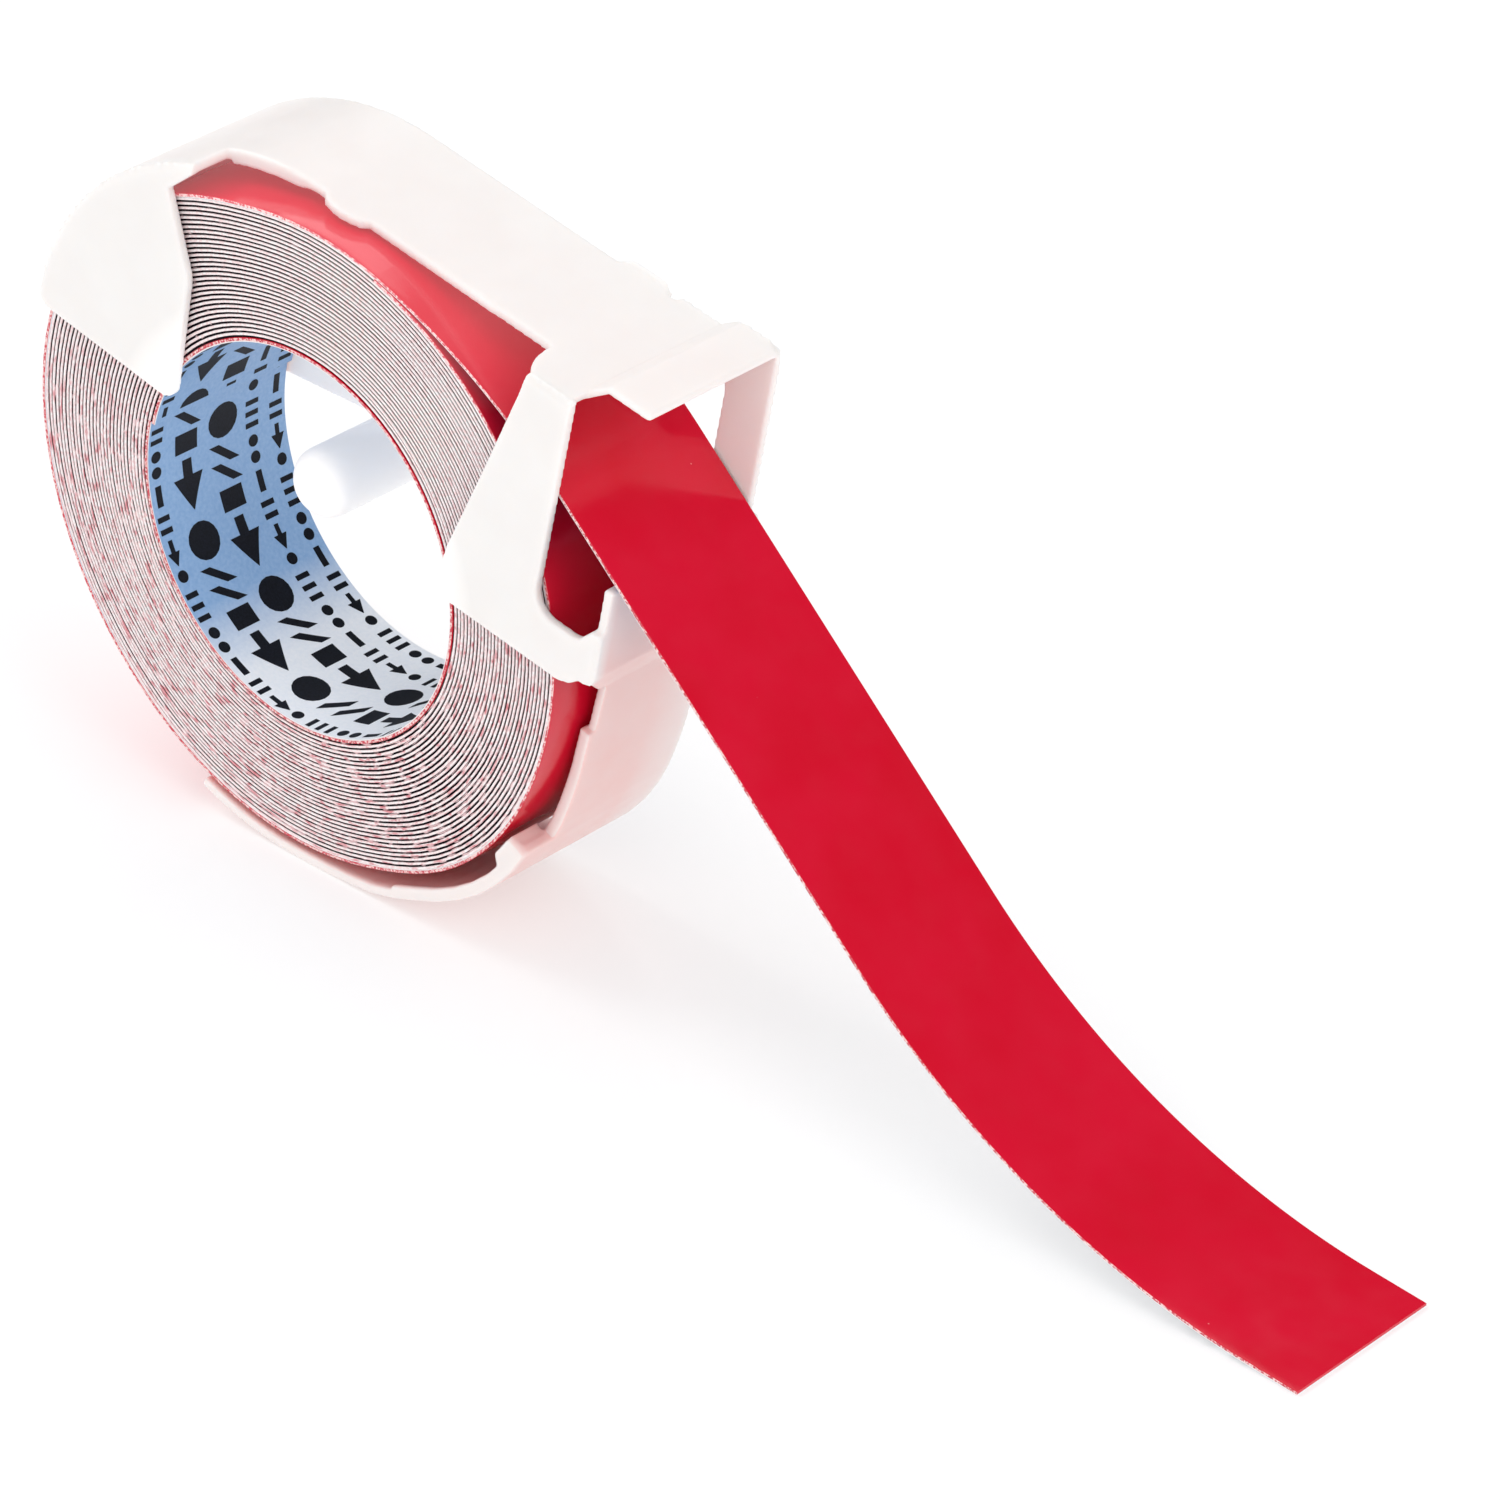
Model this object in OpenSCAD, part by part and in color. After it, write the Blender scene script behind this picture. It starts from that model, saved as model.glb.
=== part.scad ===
// Refill cassette of embossing tape: a moulded plastic holder, a wound roll of self-adhesive
// tape inside it, and the free end of the tape, which leaves the mouth and lies on the surface.
// The origin is on the axis of the hub peg, at the middle of the tape's width.
// +X runs the way the tape leaves, +Y along the peg towards its root, +Z up.

/* [Tape] */
// Width of the tape
tape_w = 12; // [9:0.5:14]
// Thickness of the coloured vinyl
vinyl_t = 0.21; // [0.15:0.01:0.25]
// Thickness of the paper liner under it
liner_t = 0.075; // [0.05:0.005:0.1]
// Outer radius of the full roll
roll_r = 22.2; // [20:0.1:22.2]
// Radius of the hole in the roll
hole_r = 13; // [9:0.5:16]

/* [Free end of the tape] */
// Direction around the roll at which the last turn leaves it
leave_angle = 72; // [66:1:76]
// Radius of the loose bow between the roll and the mouth
bow_r = 43.5; // [38:0.5:48]
// Slope of the tape as it comes out of the mouth
exit_slope = 42; // [38:1:46]
// Radius of the sweep down to the surface
sweep_r = 50; // [42:1:52]
// Slope that is left where the sweep ends
end_slope = 4; // [3:1:6]
// Flat length after the sweep
end_run = 4; // [2:1:6]
// Number of stiff stretches that the free end is divided into
tail_count = 5; // [5:1:5]
// Gap between two stretches at their hinge line
hinge_gap = 0.08; // [0.06:0.01:0.12]

/* [Holder] */
// Thickness of the moulding
wall = 0.65; // [0.5:0.05:0.65]
// Gap between the roll and each side wall
side_gap = 0.2; // [0.15:0.05:0.4]
// Downward tilt of the roof and of the mouth
tilt = 10; // [9:0.5:11]
// How far the near edge of the roof is set back from the middle of the tape
roof_near = 3.5; // [3:0.1:4.5]
// Height that the front wall reaches, measured square to the roof's slope
lip_h = 12; // [10:0.5:12]
// Height of the surface under the axis of the roll
stand_h = 23.1; // [23.1:0.1:23.3]

/* [Hub] */
// Radius of the hub peg
peg_r = 2.3; // [1.8:0.1:3]
// Length of the peg's straight shank
peg_len = 8; // [6:0.5:8.5]
// Height of the peg above the axis of the roll
peg_rise = 3.2; // [2.8:0.1:3.6]

/* [Hidden] */

// Colours
plastic = [0.95, 0.93, 0.92];
red = [0.82, 0.05, 0.16];
paper = [0.82, 0.86, 0.92];
side_view = [0.75, 0.45, 0.50];

tape_t = vinyl_t + liner_t;
half_w = tape_w / 2;
side_in = half_w + side_gap;
side_out = side_in + wall;
turn_r = roll_r - tape_t;

// Arc over the back of the roll. It runs into the flat roof without a corner.
back_c = [-3.66, 4.47];
back_r = 19.3;
back_end = 168;
ear_end = 103.7;
roof_h = back_r + back_c[0] * sin(tilt) + back_c[1] * cos(tilt);
roof_start = back_c[0] * cos(tilt) - back_c[1] * sin(tilt);

// Arc under the front of the roll, the flat that it stands on, and the arc behind the flat.
belly_r = 19.8;
belly_c = [2.62, belly_r - stand_h];
belly_top = -15;
heel_end = -112;
toe_end = -32.4;
toe_full = 0.42;

// Mouth, in the tilted frame: u along the roof, h square to it.
cap_start = 19.6;
cap_full = 21.1;
cap_end = 24.45;
cap_h = 24.15;
cap_t = 0.5;
cap_near = 4.9;
wall_u = 25.1;
wall_foot_h = 5.6;
crease = [23.5, -1.6];
cheek_low = 4.1;
cheek_left = 12;
cheek_top_left = 16.3;
window_left = 20;
window_low = 7.75;
step = 4;

// Points of an arc about c from angle a to angle b.
function arc(c, r, a, b, n = 12) =
    [for (i = [0:n]) let (t = a + (b - a) * i / n) [c[0] + r * cos(t), c[1] + r * sin(t)]];

// The tilted frame's (u, h) as the roll's (x, z), and back.
function tilted(p) = [p[0] * cos(tilt) + p[1] * sin(tilt), -p[0] * sin(tilt) + p[1] * cos(tilt)];
function level(p) = [p[0] * cos(tilt) - p[1] * sin(tilt), p[0] * sin(tilt) + p[1] * cos(tilt)];

// Offsets an open outline to its left by d, with mitred corners.
function dir(a, b) = (b - a) / norm(b - a);
function left(v) = [-v[1], v[0]];
function shifted(p, d) = [
    for (i = [0:len(p) - 1])
        let (
            before = left(dir(p[max(i - 1, 0)], p[max(i, 1)])),
            after = left(dir(p[min(i, len(p) - 2)], p[min(i + 1, len(p) - 1)])),
            mid = before + after
        )
        p[i] + mid * (2 * d / (mid * mid))
];
function backwards(p) = [for (i = [len(p) - 1:-1:0]) p[i]];
function part_of(p, i, j) = [for (k = [i:j]) p[k]];
// Arc of the belly. It is a little fuller than round, most of all by the toe.
function belly(a, b, n) = [for (i = [0:n])
    let (t = a + (b - a) * i / n, fuller = 0.1 + toe_full * max(0, cos(min(90, 4 * abs(t + 44)))))
    belly_c + (belly_r + (t > -80 ? fuller : 0)) * [cos(t), sin(t)]];
// Closed outline of a wall along an arc, on the arc's inner side.
function arc_strip(c, r, a, b) =
    let (n = round(abs(a - b) / step))
    concat(arc(c, r, a, b, n), backwards(arc(c, r - wall, a, b, n)));

// Extrudes an outline drawn in (x, z) across the width, from y0 to y1, around the roll's axis.
module across(y0, y1) {
    translate([0, y1, -peg_rise]) rotate([90, 0, 0]) linear_extrude(y1 - y0) children();
}

// The same, for an outline drawn in the tilted frame's (u, h).
module across_tilted(y0, y1) {
    translate([0, 0, -peg_rise]) rotate([0, tilt, 0])
        translate([0, y1, 0]) rotate([90, 0, 0]) linear_extrude(y1 - y0) children();
}

// ---- Holder ----

// Outer line of the holder from the mouth's lip down, under the roll and up to the heel.
belly_line = belly(belly_top, toe_end, 4);
notch = crease + 0.55 * (belly_line[0] - crease);
under_outer = concat(
    [tilted([wall_u, lip_h]), tilted([wall_u, wall_foot_h]), crease, notch], belly_line,
    part_of(belly(toe_end, -90, 10), 1, 10), arc([0, 0], stand_h, -90, heel_end, 5)
);
under_inner = shifted(under_outer, -wall);
// The near edge is thickened inwards as far as the roll leaves room for it.
rim_extra = 0.25;
rim_w = 0.6;
under_rim = shifted(under_outer, -wall - rim_extra);
// Places in those lists of the point where the band becomes full width, and of the thick rim's end.
toe = 3 + len(belly_line);
rim_end = toe + 7;

module under_slice(i, j) {
    polygon(concat(part_of(under_outer, i, j), backwards(part_of(under_inner, i, j))));
}

module rim_slice(i, j) {
    polygon(concat(part_of(under_outer, i, j), backwards(part_of(under_rim, i, j))));
}

// The band is full width behind the ear, and set back from there to the roof. A small lip hangs under
// its near edge, from the ear almost to the roof.
module upper_band() {
    roof_tangent = 90 - tilt;
    lip_end = 82;
    lip_deep = 0.4;
    lip_w = 0.6;
    under = [for (i = [0:12])
        let (t = lip_end + (ear_end - lip_end) * i / 12)
        back_c + (back_r - wall - lip_deep * min(1, (t - lip_end) / 4)) * [cos(t), sin(t)]];
    color(plastic) {
        across(-side_in, -roof_near) polygon(arc_strip(back_c, back_r, back_end, ear_end));
        across(-roof_near, side_in) polygon(arc_strip(back_c, back_r, back_end, roof_tangent));
        across(-roof_near, lip_w - roof_near)
            polygon(concat(under, arc(back_c, back_r - wall / 2, ear_end, lip_end, 6)));
    }
}

// Flat roof. Its near edge has a rounded bump and a small step, and its far edge has a tab.
module roof_plate() {
    bump = [for (t = [0:15:180]) [roof_start + 2.4 - 1.8 * cos(t), -roof_near - 0.7 * sin(t)]];
    step_y = -roof_near + 0.1;
    corner = concat(
        arc([cheek_top_left - 1.4, step_y - 0.25], 0.25, 90, 0, 4),
        [[cheek_top_left - 1.1, -4.1], [cheek_top_left - 0.9, -5], [cheek_top_left - 0.5, -5.8]]
    );
    tab_mid = 13.55;
    tab_out = side_in + 1.2;
    tab = concat(
        [[tab_mid + 2.1, side_in]], arc([tab_mid + 1.2, tab_out - 0.6], 0.6, 20, 90, 4),
        arc([tab_mid - 1.2, tab_out - 0.6], 0.6, 90, 160, 4), [[tab_mid - 2.1, side_in]]
    );
    outline = concat(
        [[roof_start, -roof_near]], bump, [[10.4, -roof_near], [10.8, step_y]], corner,
        [[cheek_top_left - 0.1, -side_in], [cap_start, -side_in], [cap_start, side_in]],
        tab, [[roof_start, side_in]]
    );
    color(plastic)
        translate([0, 0, -peg_rise]) rotate([0, tilt, 0])
            translate([0, 0, roof_h - wall]) linear_extrude(wall) polygon(outline);
}

// Raised roof over the mouth, with a ramp up to it.
module mouth_cap() {
    edge = 0.15;
    profile = [
        [cap_start, roof_h - wall], [cap_full, cap_h - cap_t], [cap_end, cap_h - cap_t],
        [cap_end, cap_h - edge], [cap_end - edge, cap_h], [cap_full, cap_h], [cap_start, roof_h]
    ];
    color(plastic) across_tilted(-cap_near, side_in) polygon(profile);
}

// Rounded flap that keeps the roll in on the near side, at the back.
module near_ear() {
    band_in = back_c + (back_r - wall) * [cos(ear_end), sin(ear_end)];
    shoulder = [-10.2, 20.9];
    knee = arc([-10.6, 15.1], 2, 17, -9, 4);
    tip = arc([-10.95, 7.4], 1.1, -20, -102, 6);
    heel = arc([-20.9, 9.6], 1.2, -102, -150, 4);
    color(plastic)
        across(-side_out, -side_in)
            intersection() {
                translate(back_c) circle(back_r, $fn = 120);
                polygon(concat(
                    [[band_in[0], 26], band_in, shoulder], knee, tip, heel, [[-24, 12], [-24, 26]]
                ));
            }
}

// Left edge of both cheeks: a long slope with a rounded foot.
function cheek_edge() = concat(
    [[cheek_top_left, roof_h], [cheek_top_left - 0.3, 21.5], [14.2, 14.5], [12.45, 8]],
    arc([cheek_left + 1, cheek_low + 1], 1, 180, 270, 6)
);
// Lower edge of both cheeks. It curves up to the front wall's foot, and ends up the inner side of that.
function cheek_floor() =
    let (
        low = level(under_inner[2]), high = level(under_inner[1]), h = cheek_low + 0.9,
        meeting = low + (high - low) * (h - low[1]) / (high[1] - low[1])
    )
    [[22.4, cheek_low], [23.4, cheek_low + 0.3], meeting, high];

// Near cheek: a leg down from the roof and a foot that runs forward to the front wall.
module near_cheek() {
    foot_top = 9;
    window = concat(
        [[cap_end, foot_top]], arc([22.9, window_low + 1.4], 1.4, -60, -90, 3),
        arc([window_left + 1.35, window_low + 1.6], 1.6, 270, 180, 6), [[window_left, roof_h]]
    );
    color(plastic)
        across_tilted(-side_out, -side_in)
            polygon(concat(cheek_edge(), cheek_floor(), window));
}

// Far cheek: the same outline, closed at the front by a strip, around a long window.
module far_cheek() {
    r = 1.5;
    left = 17.3;
    right = 21;
    low = window_low + 0.4;
    high = 20.6;
    brow_r = 0.9;
    brow = concat(
        arc([cap_end - brow_r, cap_h - brow_r], brow_r, 0, 90, 5), [[cap_full, cap_h], [cap_start, roof_h]]
    );
    color(plastic)
        across_tilted(side_in, side_out)
            difference() {
                polygon(concat(cheek_edge(), cheek_floor(), brow));
                polygon(concat(
                    arc([left + r, low + r], r, 180, 270, 5), arc([right - r, low + r], r, 270, 360, 5),
                    arc([right - r, high - r], r, 0, 90, 5), arc([left + r, high - r], r, 90, 180, 5)
                ));
            }
}

// Wall in front of the mouth. The tape rests on its lip. Its near end stops short above the cheek's
// foot, and its lower edge rises from the set-back band to the cheek.
module front_wall() {
    lip_near = -6.3;
    above_foot = [[-8, 8.9], [lip_near, 8.9], [lip_near, 14], [-8, 14]];
    rise = [
        [-8, 0], [-8, 5.2], [-6.85, 5.1], [-6.2, 4.8], [-5.2, 3.9], [-4.3, 3],
        [-roof_near, 2.3], [-roof_near, 0]
    ];
    color(plastic)
        difference() {
            across(-side_out, side_out) under_slice(0, 2);
            translate([0, 0, -peg_rise]) rotate([0, tilt, 0]) rotate([90, 0, 90])
                translate([0, 0, 20]) linear_extrude(8) {
                    polygon(above_foot);
                    polygon(rise);
                }
        }
}

// Narrow part of the lower band. Its near edge has a small step, and is set back further above it.
module lower_band_front() {
    set_back = 0.45;
    color(plastic) {
        across(-roof_near + set_back, side_in) under_slice(2, toe);
        across(-roof_near, -roof_near + 2 * set_back) rim_slice(3, toe);
    }
}

// Full-width foot of the band, with a flat under the roll. Its toe stands up in a low rib, and the
// corner of that is rounded.
module lower_band_bottom() {
    r = 0.7;
    cut_r = belly_r - 3;
    rib_in = belly_r - 1.12;
    rib_top = toe_end - 0.4;
    rib_foot = rib_top - 6;
    rib = concat(
        arc(belly_c, rib_in, rib_top, rib_foot, 4),
        arc(belly_c, belly_r - 0.2, rib_foot - 2, rib_top, 5)
    );
    corner = concat(
        [[-side_in - 1, 1], [-side_in - 1, -r]], arc([-side_in + r, -r], r, 180, 90, 6), [[-side_in + r, 1]]
    );
    color(plastic)
        difference() {
            union() {
                across(-side_in, side_in) under_slice(toe, len(under_outer) - 1);
                across(-side_in, -side_in + rim_w) rim_slice(toe, rim_end);
                across(-side_in, -roof_near) polygon(rib);
            }
            translate([belly_c[0], 0, belly_c[1] - peg_rise]) rotate([0, -toe_end, 0]) rotate([90, 0, 90])
                translate([0, 0, cut_r]) linear_extrude(6) polygon(corner);
        }
}

// Arm across the far side of the roll. It carries the peg on a rounded lobe.
module hub_arm() {
    arm_low = 2;
    arm_high = 10;
    lobe_r = 3.2;
    color(plastic)
        across(side_in, side_out)
            difference() {
                union() {
                    intersection() {
                        translate(back_c) circle(back_r, $fn = 120);
                        translate([-30, arm_low]) square([60, arm_high - arm_low]);
                    }
                    translate([0, peg_rise]) circle(lobe_r, $fn = 60);
                }
                polygon([for (p = concat(cheek_edge(), [[40, cheek_low], [40, roof_h]])) tilted(p)]);
            }
}

// Peg with a flared root and a domed tip. It stands on the arm and points to the near side.
module hub_peg() {
    flare = 0.5;
    root = [[0, 0], [peg_r + flare, 0], [peg_r, 1.6], [peg_r, 1.6 + peg_len]];
    dome = [for (t = [0:10:90]) [peg_r * cos(t), 1.6 + peg_len + 0.8 * peg_r * sin(t)]];
    color(plastic)
        translate([0, side_in, 0]) rotate([90, 0, 0]) rotate_extrude($fn = 96) polygon(concat(root, dome));
}

// ---- Roll ----

module ring(r_out, r_in) {
    across(-half_w, half_w) difference() {
        circle(r_out, $fn = 180);
        circle(r_in, $fn = 180);
    }
}

module wound_turns() {
    color(side_view) ring(turn_r, hole_r + tape_t);
}

module inner_turn() {
    color(paper) ring(hole_r + tape_t, hole_r);
}

module outer_turn() {
    color(red) ring(roll_r, turn_r);
}

// ---- Free end of the tape ----

// The outer face of the tape as a path: a bow off the roll, a straight run, a sweep and a flat run.
bow_c = (roll_r - bow_r) * [cos(leave_angle), sin(leave_angle)];
bow_turn = leave_angle - (90 - exit_slope);
bow_len = bow_r * bow_turn * PI / 180;
bow_out = bow_c + bow_r * [cos(90 - exit_slope), sin(90 - exit_slope)];
sweep_turn = exit_slope - end_slope;
sweep_len = sweep_r * sweep_turn * PI / 180;
sweep_drop = sweep_r * (cos(end_slope) - cos(exit_slope));
run_drop = end_run * sin(end_slope);
run_len = (bow_out[1] + stand_h - tape_t * cos(end_slope) - sweep_drop - run_drop) / sin(exit_slope);
sweep_in = bow_out + run_len * [cos(exit_slope), -sin(exit_slope)];
sweep_c = sweep_in + sweep_r * [sin(exit_slope), cos(exit_slope)];
path_len = bow_len + run_len + sweep_len + end_run;

// Downward slope and place of the path at distance s from where it leaves the roll.
function slope_at(s) =
    s < bow_len ? 90 - leave_angle + s / bow_r * 180 / PI :
    s < bow_len + run_len ? exit_slope :
    s < bow_len + run_len + sweep_len ? exit_slope - (s - bow_len - run_len) / sweep_r * 180 / PI :
    end_slope;
function point_at(s) =
    let (a = slope_at(s))
    s < bow_len ? bow_c + bow_r * [sin(a), cos(a)] :
    s < bow_len + run_len ? bow_out + (s - bow_len) * [cos(a), -sin(a)] :
    s < bow_len + run_len + sweep_len ? sweep_c - sweep_r * [sin(a), cos(a)] :
    sweep_c - sweep_r * [sin(end_slope), cos(end_slope)]
        + (s - bow_len - run_len - sweep_len) * [cos(end_slope), -sin(end_slope)];
// Point of the path, sunk by d below the outer face.
function sunk(s, d) = point_at(s) - d * [sin(slope_at(s)), cos(slope_at(s))];

// One layer of the tape between two distances and two depths.
module layer(s0, s1, d0, d1, n = 12) {
    top = [for (i = [0:n]) sunk(s0 + (s1 - s0) * i / n, d0)];
    under = [for (i = [n:-1:0]) sunk(s0 + (s1 - s0) * i / n, d1)];
    across(-half_w, half_w) polygon(concat(top, under));
}

// The lead starts where it is clear of the roll, and ends outside the mouth.
lead_start = 6;
lead_end = bow_len + 11.5;
tail_step = (path_len - lead_end) / tail_count;
function tail_from(k) = lead_end + (k - 1) * tail_step + (k > 1 ? hinge_gap / 2 : 0);
function tail_to(k) = lead_end + k * tail_step - (k < tail_count ? hinge_gap / 2 : 0);

module lead_vinyl() {
    color(red) layer(lead_start, lead_end, 0, vinyl_t);
}

module lead_liner() {
    color(paper) layer(lead_start, lead_end, vinyl_t, tape_t);
}

module tail_vinyl(k) {
    color(red) layer(tail_from(k), tail_to(k), 0, vinyl_t);
}

module tail_liner(k) {
    color(paper) layer(tail_from(k), tail_to(k), vinyl_t, tape_t);
}

upper_band();
roof_plate();
mouth_cap();
near_ear();
near_cheek();
far_cheek();
front_wall();
lower_band_front();
lower_band_bottom();
hub_arm();
hub_peg();
wound_turns();
inner_turn();
outer_turn();
lead_vinyl();
lead_liner();
for (k = [1:tail_count]) {
    tail_vinyl(k);
    tail_liner(k);
}
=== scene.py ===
"""Embossing tape cassette: the looks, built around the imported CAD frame.

Lengths in this file are millimetres, in the frame's axes. make_piece() turns them into metres.
"""
import math

import bmesh
import bpy
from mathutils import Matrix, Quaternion, Vector, noise


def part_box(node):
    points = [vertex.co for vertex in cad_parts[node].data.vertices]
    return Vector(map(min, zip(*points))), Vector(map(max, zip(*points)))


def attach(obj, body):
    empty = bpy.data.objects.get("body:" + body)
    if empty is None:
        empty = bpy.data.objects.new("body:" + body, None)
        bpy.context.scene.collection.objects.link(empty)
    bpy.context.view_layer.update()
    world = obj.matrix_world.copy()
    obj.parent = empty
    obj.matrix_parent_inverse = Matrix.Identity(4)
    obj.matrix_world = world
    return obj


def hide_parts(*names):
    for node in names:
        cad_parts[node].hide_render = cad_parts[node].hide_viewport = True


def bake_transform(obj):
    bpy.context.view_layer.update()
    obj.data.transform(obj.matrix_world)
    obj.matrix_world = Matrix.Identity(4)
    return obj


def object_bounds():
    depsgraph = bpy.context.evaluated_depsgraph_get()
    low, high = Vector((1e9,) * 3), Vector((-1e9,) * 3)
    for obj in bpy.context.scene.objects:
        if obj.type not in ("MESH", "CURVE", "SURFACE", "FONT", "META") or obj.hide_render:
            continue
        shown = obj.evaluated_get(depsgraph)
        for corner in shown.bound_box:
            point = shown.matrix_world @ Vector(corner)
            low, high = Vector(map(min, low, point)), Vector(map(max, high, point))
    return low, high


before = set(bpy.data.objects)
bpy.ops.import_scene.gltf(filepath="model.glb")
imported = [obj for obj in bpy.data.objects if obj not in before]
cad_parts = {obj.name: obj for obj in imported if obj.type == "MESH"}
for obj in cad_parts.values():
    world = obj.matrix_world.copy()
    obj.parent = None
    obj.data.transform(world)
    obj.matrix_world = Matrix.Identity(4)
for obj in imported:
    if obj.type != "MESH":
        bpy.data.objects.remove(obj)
cad_low, cad_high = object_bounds()
MM = 0.001


# ---- Sizes that the frame gives ----

def box_mm(node):
    """Lowest and highest corner of a CAD node, in millimetres."""
    low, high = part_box(node)
    return low / MM, high / MM


roll_low, roll_high = box_mm("outer_turn")
ROLL_R = (roll_high.x - roll_low.x) / 2
ROLL_Z = (roll_high.z + roll_low.z) / 2
HALF_W = roll_high.y
TAPE_T = roll_high.x - box_mm("wound_turns")[1].x
HOLE_R = box_mm("inner_turn")[1].x - TAPE_T
GROUND_Z = cad_low.z / MM

# ---- The tape ----

# The free tape leaves the roll at LEAVE_ANGLE, bows over, runs straight down through the mouth at
# EXIT_SLOPE, and sweeps out to END_SLOPE, where it ends on the ground.
VINYL_T = 0.74 * TAPE_T
PITCH_GAP = 0.0002
LEAVE_ANGLE = 72
BOW_R = 43.5
EXIT_SLOPE = 42
SWEEP_R = 50
END_SLOPE = 4
END_RUN = 4
LEAD_START = 6
LEAD_PAST_BOW = 11.5
TAIL_COUNT = 5

# WOUND_STEPS covers the turns between the outermost and the innermost one, whose own steps are finer.
STEPS_PER_LAP = 96
WOUND_STEPS = 2809
INNER_STEPS = 288
PITCH = TAPE_T + PITCH_GAP
LAPS = 2 + WOUND_STEPS / STEPS_PER_LAP


def sin(degrees):
    return math.sin(math.radians(degrees))


def cos(degrees):
    return math.cos(math.radians(degrees))


BOW_TURN = LEAVE_ANGLE - (90 - EXIT_SLOPE)
BOW_LEN = math.radians(BOW_TURN) * BOW_R
BOW_C = ((ROLL_R - BOW_R) * cos(LEAVE_ANGLE), (ROLL_R - BOW_R) * sin(LEAVE_ANGLE))
BOW_OUT = (BOW_C[0] + BOW_R * sin(EXIT_SLOPE), BOW_C[1] + BOW_R * cos(EXIT_SLOPE))
SWEEP_LEN = math.radians(EXIT_SLOPE - END_SLOPE) * SWEEP_R
SWEEP_DROP = SWEEP_R * (cos(END_SLOPE) - cos(EXIT_SLOPE))
STAND_H = ROLL_Z - GROUND_Z
RUN_DROP = BOW_OUT[1] + STAND_H - TAPE_T * cos(END_SLOPE) - SWEEP_DROP - END_RUN * sin(END_SLOPE)
RUN_LEN = RUN_DROP / sin(EXIT_SLOPE)
PATH_LEN = BOW_LEN + RUN_LEN + SWEEP_LEN + END_RUN
SWEEP_C = (
    BOW_OUT[0] + RUN_LEN * cos(EXIT_SLOPE) + SWEEP_R * sin(EXIT_SLOPE),
    BOW_OUT[1] - RUN_LEN * sin(EXIT_SLOPE) + SWEEP_R * cos(EXIT_SLOPE),
)
LEAD_END = BOW_LEN + LEAD_PAST_BOW
TAIL_STEP = (PATH_LEN - LEAD_END) / TAIL_COUNT


def on_path(s, y, depth):
    """Point of the free tape: s along it from where it leaves the roll, depth below its red face."""
    if s < BOW_LEN:
        slope = 90 - LEAVE_ANGLE + math.degrees(s / BOW_R)
        x, z = BOW_C[0] + BOW_R * sin(slope), BOW_C[1] + BOW_R * cos(slope)
    elif s < BOW_LEN + RUN_LEN:
        slope, run = EXIT_SLOPE, s - BOW_LEN
        x, z = BOW_OUT[0] + run * cos(slope), BOW_OUT[1] - run * sin(slope)
    else:
        past = max(0.0, s - BOW_LEN - RUN_LEN - SWEEP_LEN)
        slope = EXIT_SLOPE - math.degrees((s - past - BOW_LEN - RUN_LEN) / SWEEP_R)
        x = SWEEP_C[0] - SWEEP_R * sin(slope) + past * cos(slope)
        z = SWEEP_C[1] - SWEEP_R * cos(slope) - past * sin(slope)
    return (x - depth * sin(slope), y, z - depth * cos(slope) + ROLL_Z)


# Where the roll has loosened: (from, most, to) in degrees, and how far its rim stands out of round there.
BULGES = [((96, 140, 230), 1.38), ((284, 308, 350), 0.40)]


def bulge(angle):
    """How far the outermost turn stands out of round at an angle."""
    angle %= 360
    for (start, most, end), height in BULGES:
        if start < angle < end:
            reach = (start if angle < most else end) - most
            return height * (1 + cos(180 * (angle - most) / reach)) / 2
    return 0.0


def on_roll(laps, y, depth):
    """Point of the wound tape: laps back from where it leaves the roll."""
    angle, radius = LEAVE_ANGLE + 360 * laps, ROLL_R - PITCH * laps - depth
    radius += bulge(angle) * (radius - HOLE_R) / (ROLL_R - HOLE_R)
    return (radius * cos(angle), y, radius * sin(angle) + ROLL_Z)


def spread(start, end, step):
    """Evenly spaced numbers from start to end, about a step apart."""
    count = max(1, round(abs(end - start) / step))
    return [start + (end - start) * i / count for i in range(count + 1)]


# ---- Mesh making ----

def make_piece(name, points, faces, materials, face_materials=None, sharp_deg=35, uvs=None):
    """Mesh object from points in millimetres. It is smooth where its faces meet at a small angle."""
    mesh = bpy.data.meshes.new(name)
    mesh.from_pydata([Vector(p) * MM for p in points], [], faces)
    for material in materials:
        mesh.materials.append(material)
    for index, polygon in enumerate(mesh.polygons):
        polygon.use_smooth = True
        if face_materials:
            polygon.material_index = face_materials[index]
    if uvs:
        uv_layer = mesh.uv_layers.new(name="Along")
        for loop in mesh.loops:
            uv_layer.data[loop.index].uv = uvs[loop.vertex_index]
    mesh.validate()
    shell = bmesh.new()
    shell.from_mesh(mesh)
    bmesh.ops.recalc_face_normals(shell, faces=shell.faces)
    shell.to_mesh(mesh)
    shell.free()
    mesh.set_sharp_from_angle(angle=math.radians(sharp_deg))
    piece = bpy.data.objects.new(name, mesh)
    bpy.context.scene.collection.objects.link(piece)
    return piece


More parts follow.
